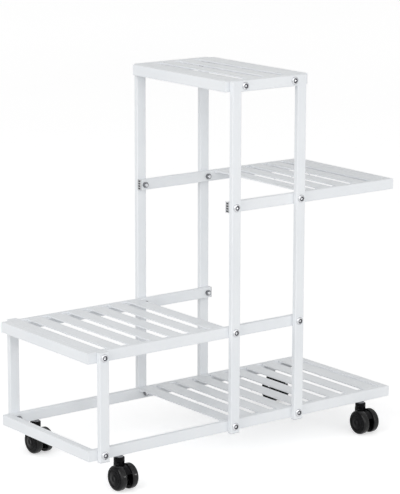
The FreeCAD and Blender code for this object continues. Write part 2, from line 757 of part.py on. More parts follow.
for label, parts in (("rail_end_plugs", rail_plugs), ("leg_foot_plugs", foot_plugs),
                     ("short_leg_caps", caps)):
    group = doc.addObject("Part::Compound", label)
    group.Links = parts
    keep(group, label)

# casters
for row, y in caster_rows.items():
    for column, x in caster_columns.items():
        caster(f"{row}_{column}_caster", x, y)
caster_places = [at(x, y, s["base_lift"]) for x in caster_columns.values() for y in caster_rows.values()]
linked_group("caster_bushes", bush_pattern(), caster_places)

doc.recompute()

# ---------------------------------------------------------------- checking and writing
for thing in doc.Objects:
    if "Invalid" in thing.State or "Error" in thing.State:
        raise RuntimeError(f"{thing.Label} did not build: {thing.State}")
for piece in pieces:
    if piece.Shape.isNull() or not piece.Shape.isValid():
        raise RuntimeError(f"{piece.Label} has no valid shape")
os.makedirs("parts", exist_ok=True)
for piece in pieces:
    piece.Shape.exportStep(os.path.join("parts", f"{piece.Label}.step"))
print(len(pieces), "pieces written")
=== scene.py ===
"""Looks of the tiered plant stand: powder-coated tube and slats, plated bolts and glossy casters.

Lengths are in metres in the part's own frame: the origin on the floor under the middle of the
stand, +X from the low shelf to the high one, +Y from the front rails to the rear ones, +Z up.
"""
import json
import math

import bmesh
import bpy
from mathutils import Matrix, Vector


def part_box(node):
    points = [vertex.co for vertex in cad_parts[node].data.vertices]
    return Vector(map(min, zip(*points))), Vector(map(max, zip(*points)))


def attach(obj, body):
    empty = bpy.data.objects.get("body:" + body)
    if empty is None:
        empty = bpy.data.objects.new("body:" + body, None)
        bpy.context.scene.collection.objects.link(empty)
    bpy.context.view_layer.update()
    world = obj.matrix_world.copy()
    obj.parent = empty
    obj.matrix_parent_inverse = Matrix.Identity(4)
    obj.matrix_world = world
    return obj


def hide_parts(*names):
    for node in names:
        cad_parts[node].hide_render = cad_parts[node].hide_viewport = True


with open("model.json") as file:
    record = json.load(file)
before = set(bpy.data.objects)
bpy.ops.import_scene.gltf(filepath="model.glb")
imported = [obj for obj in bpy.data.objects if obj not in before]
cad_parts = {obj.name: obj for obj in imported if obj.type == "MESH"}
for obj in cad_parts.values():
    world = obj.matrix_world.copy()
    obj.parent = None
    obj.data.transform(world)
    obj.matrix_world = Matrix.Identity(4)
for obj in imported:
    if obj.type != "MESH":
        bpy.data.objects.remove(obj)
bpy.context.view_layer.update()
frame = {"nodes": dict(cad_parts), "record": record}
NODES = frame["nodes"]
CASTERS = [name[:-len("_fork")] for name in NODES if name.endswith("_caster_fork")]

MM = 0.001

# camera, from the corners of the stand measured in the photograph
CAMERA_PLACE = Vector((-2406.4, -3160.9, 1243.2)) * MM
CAMERA_LOOK = Vector((0.59051, 0.77834, -0.21327))
CAMERA_ROLL = math.radians(0.13)
SENSOR_WIDTH = 36.0
IMAGE_SIZE = (400, 494)
FOCAL_PIXELS = 2196.25

# how finely turned pieces are drawn, what counts as one point, and a sharp edge in degrees
AROUND = 48
WHEEL_AROUND = 96
SAME_POINT = 0.001 * MM
SHARP_ANGLE = 35.0

# how far edges are eased
SLAT_EDGE = 0.4 * MM
TUBE_EDGE = 0.25 * MM
PLUG_EDGE = 0.4 * MM

# bolts and nuts
BOLT_HEAD_RADIUS = 7.3 * MM
BOLT_HEAD_TALL = 2.6 * MM
BOLT_EDGE = 0.9 * MM
BOLT_RADIUS = 3.0 * MM
THREAD_PITCH = 1.0 * MM
THREAD_DEEP = 0.35 * MM
THREADS = 9
DOME_START = 3.8 * MM
SOCKET_FLATS = 5.0 * MM
SOCKET_DEEP = 1.3 * MM
SOCKET_EDGE = 0.8 * MM
MOUTH_RADIUS = 4.5 * MM
NUT_FLATS = 10.0 * MM
NUT_CHAMFER = 0.7 * MM

# tack welds and plugs
TACK_LONG = 5.0 * MM
TACK_RADIUS = 1.3 * MM
PLUG_HEAD_TALL = 1.5 * MM
PLUG_INSET = 1.3 * MM
PLUG_RIM = 1.2 * MM
PLUG_RIBS = 3
POCKET_DEEP = 1.0 * MM

# casters
FORK_WIDE = 11.0 * MM
ARCH_RADIUS = 21.0 * MM
ARCH_UNDER = 9.0 * MM
HUB_RADIUS = 7.0 * MM
HUB_WIDE = 5.0 * MM
COLLAR_RADIUS = 10.0 * MM
COLLAR_OVER_WHEEL = 1.0 * MM
PLATE_EDGE = 0.7 * MM
TRAIL = 12.0 * MM
AXLE_RADIUS = 3.0 * MM
AXLE_EDGE = 0.5 * MM
HUB_CAP_RADIUS = 7.0 * MM
HUB_CAP_TALL = 0.8 * MM
TREAD_BAND = 3.0 * MM
WHEEL_RIBS = 9
RIB_START = 5.8 * MM
RIB_SET_BACK = 1.2 * MM
RIB_LONG = 11.4 * MM
RIB_THICK = 1.2 * MM
RIB_TALL = 3.4 * MM

# stage: how strong the surround is along the horizon and overhead, what the floor adds to itself
# where it is seen, how wide the floor is, and the point of the stand that the softboxes face
HORIZON_LEVEL = 0.72
OVERHEAD_LEVEL = 0.36
FLOOR_LIFT = 0.50
FLOOR_SIZE = 60.0
LAMPS_AIM = Vector((0, 0, 0.5))


# ---------------------------------------------------------------- materials
class Shade:
    """A node material being put together: one Principled shader and what drives it."""

    def __init__(self, name):
        self.material = bpy.data.materials.new(name)
        self.material.use_nodes = True
        self.tree = self.material.node_tree
        self.shader = self.tree.nodes["Principled BSDF"]
        self.place = self.tree.nodes.new("ShaderNodeTexCoord").outputs["Object"]

    def set(self, **sockets):
        """Plain values straight on the shader, such as Metallic=1."""
        for name, value in sockets.items():
            self.shader.inputs[name.replace("_", " ")].default_value = value

    def link(self, source, socket):
        self.tree.links.new(source, self.shader.inputs[socket])

    def noise(self, scale, detail=3.0, stretch=(1, 1, 1)):
        """Cloudy noise of about 1/scale metres, drawn out along an axis by a small stretch."""
        mapping = self.tree.nodes.new("ShaderNodeMapping")
        mapping.inputs["Scale"].default_value = stretch
        noise = self.tree.nodes.new("ShaderNodeTexNoise")
        noise.inputs["Scale"].default_value = scale
        noise.inputs["Detail"].default_value = detail
        self.tree.links.new(self.place, mapping.inputs["Vector"])
        self.tree.links.new(mapping.outputs["Vector"], noise.inputs["Vector"])
        return noise.outputs["Fac"]

    def ramp(self, factor, low, high, start=0.35, stop=0.65):
        """A factor turned into a mix of two colours, or two grey levels."""
        ramp = self.tree.nodes.new("ShaderNodeValToRGB")
        ends = ramp.color_ramp.elements
        for end, place, colour in zip(ends, (start, stop), (low, high)):
            end.position = place
            end.color = colour if isinstance(colour, tuple) else (colour, colour, colour, 1)
        self.tree.links.new(factor, ramp.inputs["Fac"])
        return ramp.outputs["Color"]

    def bump(self, height, strength, distance):
        bump = self.tree.nodes.new("ShaderNodeBump")
        bump.inputs["Strength"].default_value = strength
        bump.inputs["Distance"].default_value = distance
        self.tree.links.new(height, bump.inputs["Height"])
        self.link(bump.outputs["Normal"], "Normal")

    def edges(self, radius):
        """1 on flat faces, falling towards 0 at sharp edges."""
        bevel = self.tree.nodes.new("ShaderNodeBevel")
        bevel.samples = 4
        bevel.inputs["Radius"].default_value = radius
        geometry = self.tree.nodes.new("ShaderNodeNewGeometry")
        dot = self.tree.nodes.new("ShaderNodeVectorMath")
        dot.operation = "DOT_PRODUCT"
        self.tree.links.new(bevel.outputs["Normal"], dot.inputs[0])
        self.tree.links.new(geometry.outputs["Normal"], dot.inputs[1])
        return dot.outputs["Value"]

    def mix(self, factor, colour, source):
        """A plain colour where the factor is 0 and another source where it is 1."""
        mix = self.tree.nodes.new("ShaderNodeMix")
        mix.data_type = "RGBA"
        self.tree.links.new(factor, mix.inputs["Factor"])
        first, second = [socket for socket in mix.inputs if socket.type == "RGBA"]
        first.default_value = colour
        self.tree.links.new(source, second)
        return [socket for socket in mix.outputs if socket.type == "RGBA"][0]


def white_coat():
    """Satin powder coat: fine orange peel, faint clouding, a thinner and greyer coat on edges."""
    shade = Shade("white_coat")
    clouds = shade.ramp(shade.noise(7.0), (0.785, 0.81, 0.835, 1), (0.82, 0.84, 0.86, 1))
    on_faces = shade.ramp(shade.edges(0.6 * MM), 0.0, 1.0, start=0.72, stop=0.98)
    shade.link(shade.mix(on_faces, (0.74, 0.76, 0.785, 1), clouds), "Base Color")
    shade.link(shade.ramp(shade.noise(60.0), 0.33, 0.42), "Roughness")
    shade.bump(shade.noise(620.0, detail=2.0), strength=0.25, distance=0.12 * MM)
    shade.set(Specular_IOR_Level=0.4)
    return shade.material


def gloss_black():
    """Moulded black plastic, polished by the mould, with faint flow marks and handling haze."""
    shade = Shade("gloss_black")
    shade.link(shade.ramp(shade.noise(45.0), (0.002, 0.002, 0.0025, 1), (0.005, 0.005, 0.006, 1)),
               "Base Color")
    shade.link(shade.ramp(shade.noise(90.0), 0.10, 0.17), "Roughness")
    shade.bump(shade.noise(160.0, detail=1.0), strength=0.05, distance=0.05 * MM)
    shade.set(Specular_IOR_Level=0.08)
    return shade.material


def tread_black():
    """The same plastic where it rolls: duller, with pale dust and fine scuffs."""
    shade = Shade("tread_black")
    dust = shade.ramp(shade.noise(380.0, detail=5.0), (0.004, 0.004, 0.0045, 1),
                      (0.020, 0.0195, 0.019, 1), start=0.52, stop=0.88)
    shade.link(dust, "Base Color")
    shade.link(shade.ramp(shade.noise(210.0), 0.14, 0.26), "Roughness")
    shade.bump(shade.noise(900.0, detail=4.0), strength=0.10, distance=0.05 * MM)
    shade.set(Specular_IOR_Level=0.25)
    return shade.material


def plug_moulding(name, dark, light):
    """Matt moulding of the tube plugs, with a fine spark-eroded grain."""
    shade = Shade(name)
    shade.link(shade.ramp(shade.noise(90.0), dark, light), "Base Color")
    shade.link(shade.ramp(shade.noise(300.0), 0.5, 0.68), "Roughness")
    shade.bump(shade.noise(1600.0), strength=0.35, distance=0.08 * MM)
    return shade.material


def plated_steel(name, dark, light, smooth, rough):
    """Plated steel with fine turning marks and a little tarnish."""
    shade = Shade(name)
    shade.link(shade.ramp(shade.noise(240.0, detail=4.0), dark, light), "Base Color")
    shade.link(shade.ramp(shade.noise(900.0), smooth, rough), "Roughness")
    marks = shade.noise(2400.0, detail=2.0, stretch=(1, 1, 0.15))
    shade.bump(marks, strength=0.2, distance=0.04 * MM)
    shade.set(Metallic=1.0)
    return shade.material


def shown_plainly(tree):
    """1 for the rays that show a surface as it is: from the camera, off metal and through glass."""
    path = tree.nodes.new("ShaderNodeLightPath")
    shown = path.outputs["Is Camera Ray"]
    for kind in ("Is Glossy Ray", "Is Transmission Ray"):
        either = tree.nodes.new("ShaderNodeMath")
        either.operation = "MAXIMUM"
        tree.links.new(shown, either.inputs[0])
        tree.links.new(path.outputs[kind], either.inputs[1])
        shown = either.outputs["Value"]
    return shown


def floor_white():
    """Pale floor: keeps the stand's soft shadow, and runs into the white background."""
    shade = Shade("floor_white")
    shade.link(shade.ramp(shade.noise(0.4), (0.80, 0.80, 0.80, 1), (0.82, 0.82, 0.82, 1)), "Base Color")
    shade.link(shade.ramp(shade.noise(3.0), 0.85, 0.95), "Roughness")
    shade.set(Specular_IOR_Level=0.0)
    tree = shade.tree
    glow = tree.nodes.new("ShaderNodeEmission")
    tree.links.new(shown_plainly(tree), glow.inputs["Strength"])
    glow.inputs["Color"].default_value = (FLOOR_LIFT, FLOOR_LIFT, FLOOR_LIFT, 1)
    both = tree.nodes.new("ShaderNodeAddShader")
    tree.links.new(shade.shader.outputs["BSDF"], both.inputs[0])
    tree.links.new(glow.outputs["Emission"], both.inputs[1])
    output = tree.nodes["Material Output"]
    tree.links.new(both.outputs["Shader"], output.inputs["Surface"])
    return shade.material


def wear(piece, material):
    """Dress a piece in one material."""
    piece.data.materials.clear()
    piece.data.materials.append(material)


# ---------------------------------------------------------------- reading the frame
def solids_of(node):
    """Lowest and highest corner of each separate solid of a node, sorted by the lowest corner."""
    mesh = NODES[node].data
    lead = {}

    def find(key):
        while lead[key] != key:
            lead[key] = lead[lead[key]]
            key = lead[key]
        return key

    steps_in_metre = 1e5
    keys = [tuple(round(value * steps_in_metre) for value in vertex.co) for vertex in mesh.vertices]
    for key in keys:
        lead.setdefault(key, key)
    for polygon in mesh.polygons:
        corners = [find(keys[index]) for index in polygon.vertices]
        for corner in corners[1:]:
            lead[find(corner)] = find(corners[0])
    groups = {}
    for key, vertex in zip(keys, mesh.vertices):
        groups.setdefault(find(key), []).append(vertex.co)
    boxes = []
    for points in groups.values():
        low = Vector(min(point[axis] for point in points) for axis in range(3))
        high = Vector(max(point[axis] for point in points) for axis in range(3))
        boxes.append((low, high))
    return sorted(boxes, key=lambda box: tuple(round(value, 4) for value in box[0]))


def middle(box):
    """Centre of a box given by its lowest and highest corner."""
    return (box[0] + box[1]) / 2


# ---------------------------------------------------------------- eased edges
def round_edges(piece, width, segments=2):
    """Join a piece's faces along their edges and ease the sharp ones, with modifiers."""
    weld = piece.modifiers.new("Joined_faces", "WELD")
    weld.merge_threshold = 2 * SAME_POINT
    bevel = piece.modifiers.new("Eased_edges", "BEVEL")
    bevel.width = width
    bevel.segments = segments
    bevel.limit_method = "ANGLE"
    bevel.angle_limit = math.radians(SHARP_ANGLE)
    bevel.harden_normals = True


# ---------------------------------------------------------------- turned shapes
def hexagon_radius(flats):
    """Distance from the middle of a hexagon to its side at an angle."""
    def at_angle(angle):
        return flats / 2 / math.cos((angle % (math.pi / 3)) - math.pi / 6)
    return at_angle


def add_turned(shape, rings, place, around=AROUND, material=0):
    """Skin rings of (height, radius) round the z axis; a radius may depend on the angle.

    A ring of radius 0 closes that end.
    """
    previous = None
    for height, radius in rings:
        if radius == 0:
            ring = [shape.verts.new(place @ Vector((0, 0, height)))]
        else:
            ring = []
            for step in range(around):
                angle = 2 * math.pi * step / around
                reach = radius(angle) if callable(radius) else radius
                spot = Vector((reach * math.cos(angle), reach * math.sin(angle), height))
                ring.append(shape.verts.new(place @ spot))
        if previous is not None:
            for step in range(around):
                corners = []
                after = step + 1
                for circle, index in ((previous, step), (previous, after), (ring, after), (ring, step)):
                    corner = circle[index % len(circle)]
                    if corner not in corners:
                        corners.append(corner)
                if len(corners) > 2:
                    face = shape.faces.new(corners)
                    face.material_index = material
        previous = ring


def finished(name, shape, materials, body, smooth=SHARP_ANGLE):
    """Make a piece from a finished bmesh, shade it and let it ride on its body."""
    bmesh.ops.remove_doubles(shape, verts=shape.verts, dist=SAME_POINT)
    bmesh.ops.recalc_face_normals(shape, faces=shape.faces)
    mesh = bpy.data.meshes.new(name)
    shape.to_mesh(mesh)
    shape.free()
    for material in materials:
        mesh.materials.append(material)
    piece = bpy.data.objects.new(name, mesh)
    bpy.context.scene.collection.objects.link(piece)
    mesh.shade_smooth()
    mesh.set_sharp_from_angle(angle=math.radians(smooth))
    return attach(piece, body)


def arc(centre, radius, start, stop, steps):
    """Points (height, radius) of a turned shape's outline along an arc, with angles in degrees."""
    points = []
    for step in range(steps + 1):
        angle = math.radians(start + (stop - start) * step / steps)
        points.append((centre[0] + radius * math.cos(angle), centre[1] + radius * math.sin(angle)))
    return points


# ---------------------------------------------------------------- bolts and nuts
def dome_height(reach):
    """Height of a bolt head's dome at a distance from its axis."""
    share = max(0.0, (reach - DOME_START) / (BOLT_HEAD_RADIUS - DOME_START))
    return -BOLT_HEAD_TALL + (BOLT_HEAD_TALL - BOLT_EDGE) * share ** 2


def socket_floor():
    """The bright floor of the hexagon socket."""
    bottom = SOCKET_DEEP - BOLT_HEAD_TALL
    return [(bottom, 0), (bottom, hexagon_radius(SOCKET_FLATS - SOCKET_EDGE))]


def socket_wall():
    """From the socket's floor up its wall to the countersunk mouth: painted shade and painted dark
    reflection.
    """
    socket = hexagon_radius(SOCKET_FLATS)
    floor_height, floor_reach = socket_floor()[-1]
    ease = 0.2 * MM
    wall_top = 0.3 * MM - BOLT_HEAD_TALL
    sink_top = ease - BOLT_HEAD_TALL
    return [
        (floor_height, floor_reach), (floor_height - ease, socket), (wall_top, socket),
        (sink_top, MOUTH_RADIUS - 0.4 * MM), (dome_height(MOUTH_RADIUS), MOUTH_RADIUS),
    ]


def bolt_rings(length):
    """A low domed head from the mouth of its socket, then the shank and its thread; seat at 0."""
    rings = []
    dome_steps = 8
    seat_edge = 0.1 * MM
    root, crest = 0.5, 0.95
    for step in range(dome_steps + 1):
        reach = MOUTH_RADIUS + (BOLT_HEAD_RADIUS - MOUTH_RADIUS) * step / dome_steps
        rings.append((dome_height(reach), reach))
    rings.append((-seat_edge, BOLT_HEAD_RADIUS))
    rings.append((0.0, BOLT_HEAD_RADIUS - seat_edge))
    rings.append((0.0, BOLT_RADIUS))
    start = length - THREADS * THREAD_PITCH
    rings.append((start, BOLT_RADIUS))
    for turn in range(THREADS):
        rings.append((start + (turn + root) * THREAD_PITCH, BOLT_RADIUS - THREAD_DEEP))
        rings.append((start + (turn + crest) * THREAD_PITCH, BOLT_RADIUS))
    rings.append((length, BOLT_RADIUS - THREAD_DEEP))
    rings.append((length, 0))
    return rings


def nut_rings(tall):
    """A hexagon nut with turned chamfers on both faces, standing on height 0."""
    hexagon = hexagon_radius(NUT_FLATS)
    bore = BOLT_RADIUS - THREAD_DEEP / 2
    inner = NUT_FLATS / 2 - 0.1 * MM
    lead_in = 0.5 * MM
    start = (lead_in, bore)
    return [
        start, (0.0, bore + lead_in), (0.0, inner), (NUT_CHAMFER, hexagon),
        (tall - NUT_CHAMFER, hexagon), (tall, inner), (tall, bore + lead_in),
        (tall - lead_in, bore), start,
    ]


def fasteners(side, inwards, material_bolt, painted_shade_material, material_nut):
    """Replace one side's bolts and nuts by detailed ones where the frame has them."""
    turn = Matrix.Rotation(-inwards * math.pi / 2, 4, "X")
    bolts = bmesh.new()
    for box in solids_of(f"{side}_bolts"):
        centre = middle(box)
        length = box[1].y - box[0].y - BOLT_HEAD_TALL
        seat = (box[0].y if inwards > 0 else box[1].y) + inwards * BOLT_HEAD_TALL
        place = Matrix.Translation((centre.x, seat, centre.z)) @ turn
        add_turned(bolts, bolt_rings(length), place)
        add_turned(bolts, socket_floor(), place)
        # the socket wall and the ring round its mouth get the painted shade and painted dark reflection
        add_turned(bolts, socket_wall(), place, material=1)
    piece = finished(f"{side}_bolts_detailed", bolts, [material_bolt, painted_shade_material], "stand")
    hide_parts(f"{side}_bolts")

    nuts = bmesh.new()
    for box in solids_of(f"{side}_nuts"):
        centre = middle(box)
        seat = box[0].y if inwards > 0 else box[1].y
        tall = box[1].y - box[0].y
        add_turned(nuts, nut_rings(tall), Matrix.Translation((centre.x, seat, centre.z)) @ turn)
    piece = finished(f"{side}_nuts_detailed", nuts, [material_nut], "stand")
    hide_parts(f"{side}_nuts")


# ---------------------------------------------------------------- plugs
def add_block(shape, low, high, material=0):
    """A block between two corners."""
    low, high = Vector(low), Vector(high)
    size = Matrix.Diagonal((*(high - low), 1))
    made = bmesh.ops.create_cube(shape, size=1.0, matrix=Matrix.Translation((low + high) / 2) @ size)
    for face in {face for vertex in made["verts"] for face in vertex.link_faces}:
        face.material_index = material


def foot_plugs(material):
    """White plugs under the legs: a flat head with eased edges, and a sleeve up the tube."""
    plugs = bmesh.new()
    inset = Vector((PLUG_INSET, PLUG_INSET, 0))
    for low, high in solids_of("leg_foot_plugs"):
        seam = low.z + PLUG_HEAD_TALL
        add_block(plugs, low, (high.x, high.y, seam))
        add_block(plugs, Vector((low.x, low.y, seam)) + inset, high - inset)
    piece = finished("leg_foot_plugs_detailed", plugs, [material], "stand")
    round_edges(piece, PLUG_EDGE, segments=3)
    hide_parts("leg_foot_plugs")


def rail_plugs(white_moulding, painted_shade_pocket):
    """Plugs in the open rail ends: a rim and cross ribs before a pocket painted dark as shade, and a
    sleeve.
    """
    plugs = bmesh.new()
    boxes = solids_of("rail_end_plugs")
    leftmost = min(low.x for low, high in boxes)
    for low, high in boxes:
        faces_left = low.x < leftmost + PLUG_HEAD_TALL
        face, inner = (low.x, high.x) if faces_left else (high.x, low.x)
        inwards = 1 if faces_left else -1
        pocket = face + inwards * POCKET_DEEP
        seam = face + inwards * PLUG_HEAD_TALL
        near, far = sorted((seam, inner))
        add_block(plugs, (near, low.y + PLUG_INSET, low.z + PLUG_INSET),
                  (far, high.y - PLUG_INSET, high.z - PLUG_INSET))
        near, far = sorted((pocket, seam))
        # the pocket behind the rim and ribs is painted dark grey as painted shade
        add_block(plugs, (near, low.y, low.z), (far, high.y, high.z), material=1)
        near, far = sorted((face, pocket))
        for y in (low.y, high.y - PLUG_RIM):
            add_block(plugs, (near, y, low.z), (far, y + PLUG_RIM, high.z))
        tall = high.z - low.z - PLUG_RIM
        overlap = PLUG_RIM / 2
        for rib in range(PLUG_RIBS + 2):
            z = low.z + tall * rib / (PLUG_RIBS + 1)
            add_block(plugs, (near, low.y + overlap, z), (far, high.y - overlap, z + PLUG_RIM))
    piece = finished("rail_end_plugs_detailed", plugs, [white_moulding, painted_shade_pocket], "stand")
    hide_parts("rail_end_plugs")


# ---------------------------------------------------------------- tack welds
def tack_welds(prefix, material):
    """Small beads along both edges of every slat, on the ledge strips that carry it."""
    slats = solids_of(f"{prefix}_slats")
    long_strips = sorted(solids_of(f"{prefix}_ledges"), key=lambda box: box[0].x - box[1].x)[:2]
    beads = bmesh.new()
    for low, high in slats:
        for strip_low, strip_high in long_strips:
            y = (strip_low.y + strip_high.y) / 2
            for x in (low.x, high.x):
                if strip_low.x + TACK_RADIUS < x < strip_high.x - TACK_RADIUS:
                    scale = Matrix.Diagonal((TACK_RADIUS, TACK_LONG / 2, TACK_RADIUS, 1))
                    place = Matrix.Translation((x, y, strip_high.z)) @ scale
                    bmesh.ops.create_icosphere(beads, subdivisions=2, radius=1.0, matrix=place)
    piece = finished(f"{prefix}_tack_welds", beads, [material], "stand", smooth=80.0)


# ---------------------------------------------------------------- casters
def wheel_rings(wide, radius):
    """Outline of a wheel from its blind bore over the hollow inner face to the end of its tread."""
    bore = 3.05 * MM
    boss = 6.0 * MM
    hollow = 17.0 * MM
    hollow_deep = 4.4 * MM
    crown = 4.2 * MM
    ease = 0.2 * MM
    lip = 0.4 * MM
    corner = 0.8 * MM
    bore_end = wide * 0.6
    inner_bend = crown * 0.62
    outer_bend = wide - crown - 1.0 * MM
    rings = [(bore_end, 0), (bore_end, bore), (ease, bore), (0.0, bore + ease)]
    rings += [(0.0, boss - lip), (lip, boss), (hollow_deep, boss + ease)]
    rings += [(hollow_deep, hollow - corner), (hollow_deep - corner, hollow), (lip, hollow)]
    rings += [(0.0, hollow + lip)]
    rings += arc((inner_bend, radius - crown), crown, start=130, stop=90, steps=6)
    rings += arc((outer_bend, radius - crown), crown, start=90, stop=28, steps=8)
    return rings


def wheel_dome(wide, radius):
    """The domed outer face from its shoulder to the middle, with a groove and a raised hub cap."""
    shoulder = radius - 2.6 * MM
    groove = 15.2 * MM
    groove_end = groove - 2.4 * MM
    groove_deep = 0.8 * MM
    ease = 0.1 * MM
    cap_edge = 0.5 * MM
    dimple = 0.3 * MM
    rise = 0.9 * MM
    steps = 10
    rings = []
    for step in range(steps + 1):
        share = step / steps
        reach = shoulder * (1 - share) + groove * share
        rings.append((wide - rise + rise * math.sin(share * math.pi / 2), reach))
    rings += [(wide - groove_deep, groove - 0.4 * MM), (wide - groove_deep, groove_end + 1.0 * MM)]
    rings += [(wide - ease, groove_end + 0.5 * MM), (wide, groove_end)]
    rings += [(wide, HUB_CAP_RADIUS + 0.2 * MM), (wide + ease, HUB_CAP_RADIUS)]
    top = wide + HUB_CAP_TALL
    rings += arc((top - cap_edge, HUB_CAP_RADIUS - 0.6 * MM), cap_edge, start=90, stop=0, steps=4)
    rings += [(top, HUB_CAP_RADIUS * 0.4), (top - dimple, HUB_CAP_RADIUS * 0.3), (top - dimple, 0)]
    return rings


def add_ribs(shape, place):
    """Straight ribs from the boss of a wheel to the rim of its hollow."""
    size = Matrix.Diagonal((RIB_LONG, RIB_THICK, RIB_TALL, 1))
    shift = Matrix.Translation((RIB_START + RIB_LONG / 2, 0, RIB_SET_BACK + RIB_TALL / 2))
    for rib in range(WHEEL_RIBS):
        turn = Matrix.Rotation(2 * math.pi * rib / WHEEL_RIBS, 4, "Z")
        bmesh.ops.create_cube(shape, size=1.0, matrix=place @ turn @ shift @ size)


def caster_wheel(caster, side, gloss, tread):
    """A twin wheel with a crowned tread, a domed outer face and a ribbed hollow inner face."""
    node = f"{caster}_{side}_wheel"
    low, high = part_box(node)
    centre = middle((low, high))
    wide = high.x - low.x - HUB_CAP_TALL
    radius = (high.z - low.z) / 2
    outwards = 1 if side == "right" else -1
    inner_x = low.x if side == "right" else high.x
    turn = Matrix.Rotation(outwards * math.pi / 2, 4, "Y")
    place = Matrix.Translation((inner_x, centre.y, centre.z)) @ turn
    shape = bmesh.new()
    rings = wheel_rings(wide, radius)
    tread_start = next(index for index, ring in enumerate(rings) if ring[1] > radius - TREAD_BAND)
    add_turned(shape, rings[:tread_start + 1], place, WHEEL_AROUND)
    add_turned(shape, rings[tread_start:], place, WHEEL_AROUND, material=1)
    add_turned(shape, [rings[-1]] + wheel_dome(wide, radius), place, WHEEL_AROUND)
    add_ribs(shape, place)
    piece = finished(f"{node}_detailed", shape, [gloss, tread], node, smooth=38.0)
    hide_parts(node)


def fork_outline(axle):
    """The web of a fork seen from the side: an arch over the axle, open in front and below."""
    rear_drop = HUB_RADIUS / 1.5
    rear_fall = math.degrees(math.asin(rear_drop / ARCH_RADIUS))
    nose_rise = math.degrees(math.asin(ARCH_UNDER / ARCH_RADIUS))
    steps = 40
    points = []
    for step in range(steps + 1):
        angle = math.radians(-rear_fall + (180 - nose_rise + rear_fall) * step / steps)
        points.append((axle.y + ARCH_RADIUS * math.cos(angle), axle.z + ARCH_RADIUS * math.sin(angle)))
    points.append((axle.y - HUB_RADIUS / 2, axle.z + ARCH_UNDER))
    points.append((axle.y, axle.z))
    return points


def add_plate(shape, outline, middle_x, wide):
    """A plate of a (y, z) outline, wide across x, with the edges of both flat sides eased."""
    sides = []
    half = wide / 2
    rings = ((-half, PLATE_EDGE), (PLATE_EDGE - half, 0.0), (half - PLATE_EDGE, 0.0), (half, PLATE_EDGE))
    for shift, inset in rings:
        ring = []
        for index, (y, z) in enumerate(outline):
            before, after = outline[index - 1], outline[(index + 1) % len(outline)]
            along = Vector((after[0] - before[0], after[1] - before[1])).normalized()
            ring.append(shape.verts.new((middle_x + shift, y - inset * along.y, z + inset * along.x)))
        sides.append(ring)
    for ring, following in zip(sides, sides[1:]):
        for index in range(len(outline)):
            turn = (index + 1) % len(outline)
            shape.faces.new((ring[index], following[index], following[turn], ring[turn]))
    shape.faces.new(sides[0])
    shape.faces.new(list(reversed(sides[-1])))


def turned_pin(long, radius, edge):
    """Outline of a plain pin with eased ends."""
    end = radius - edge
    return [(0, 0), (0, end), (edge, radius), (long - edge, radius), (long, end), (long, 0)]


def along_x(start_x, axle):
    """The place of a turned shape that lies on an axle, from start_x towards +x."""
    return Matrix.Translation((start_x, axle.y, axle.z)) @ Matrix.Rotation(math.pi / 2, 4, "Y")


def collar_rings(tall):
    """Outline of a fork's collar: rounded lips, a groove below the upper one and a dished top."""
    lip = 0.8 * MM
    groove = COLLAR_RADIUS - 0.5 * MM
    groove_low, groove_high = tall - 3.4 * MM, tall - 2.0 * MM
    slope = 0.4 * MM
    dish = tall - 1.0 * MM
    dish_radius = 4.1 * MM
    rings = [(0, 0), (0, COLLAR_RADIUS - lip)]
    rings += arc((lip, COLLAR_RADIUS - lip), lip, start=180, stop=90, steps=4)
    rings += [(groove_low, COLLAR_RADIUS), (groove_low + slope, groove)]
    rings += [(groove_high - slope, groove), (groove_high, COLLAR_RADIUS)]
    rings += arc((tall - lip, COLLAR_RADIUS - lip), lip, start=90, stop=0, steps=4)
    rings += [(tall, dish_radius + 0.1 * MM), (dish, dish_radius), (dish, 0)]
    return rings


def caster_fork(caster, gloss):
    """The fork: an arched web, a neck that runs up into the collar, and a hub round the axle."""
    node = f"{caster}_fork"
    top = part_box(node)[1].z
    axle = middle(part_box(f"{caster}_axle"))
    swivel_y = axle.y + TRAIL
    wheel_top = 2 * axle.z
    collar_foot = wheel_top + COLLAR_OVER_WHEEL
    shape = bmesh.new()
    add_plate(shape, fork_outline(axle), axle.x, FORK_WIDE)
    overlap = 0.5 * MM
    front, rear = swivel_y - COLLAR_RADIUS, swivel_y + COLLAR_RADIUS
    under, over = axle.z + ARCH_UNDER, collar_foot + overlap
    add_plate(shape, [(front, under), (rear, under), (rear, over), (front, over)], axle.x, FORK_WIDE)
    hub = turned_pin(HUB_WIDE, HUB_RADIUS, PLATE_EDGE)
    add_turned(shape, hub, along_x(axle.x - HUB_WIDE / 2, axle))
    collar = collar_rings(top - collar_foot)
    add_turned(shape, collar, Matrix.Translation((axle.x, swivel_y, collar_foot)), WHEEL_AROUND)
    piece = finished(f"{node}_detailed", shape, [gloss], node)
    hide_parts(node)


def caster_axle(caster, steel):
    """The steel pin, turned smooth, with eased ends."""
    node = f"{caster}_axle"
    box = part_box(node)
    shape = bmesh.new()
    outline = turned_pin(box[1].x - box[0].x, AXLE_RADIUS, AXLE_EDGE)
    add_turned(shape, outline, along_x(box[0].x, middle(box)))
    piece = finished(f"{node}_detailed", shape, [steel], f"{caster}_fork")
    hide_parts(node)


# ---------------------------------------------------------------- stage, light and camera
def make_stage():
    """A wide floor under the stand."""
    bpy.ops.mesh.primitive_grid_add(x_subdivisions=4, y_subdivisions=4, size=FLOOR_SIZE)
    floor = bpy.context.object
    floor.name = "floor"
    wear(floor, floor_white())


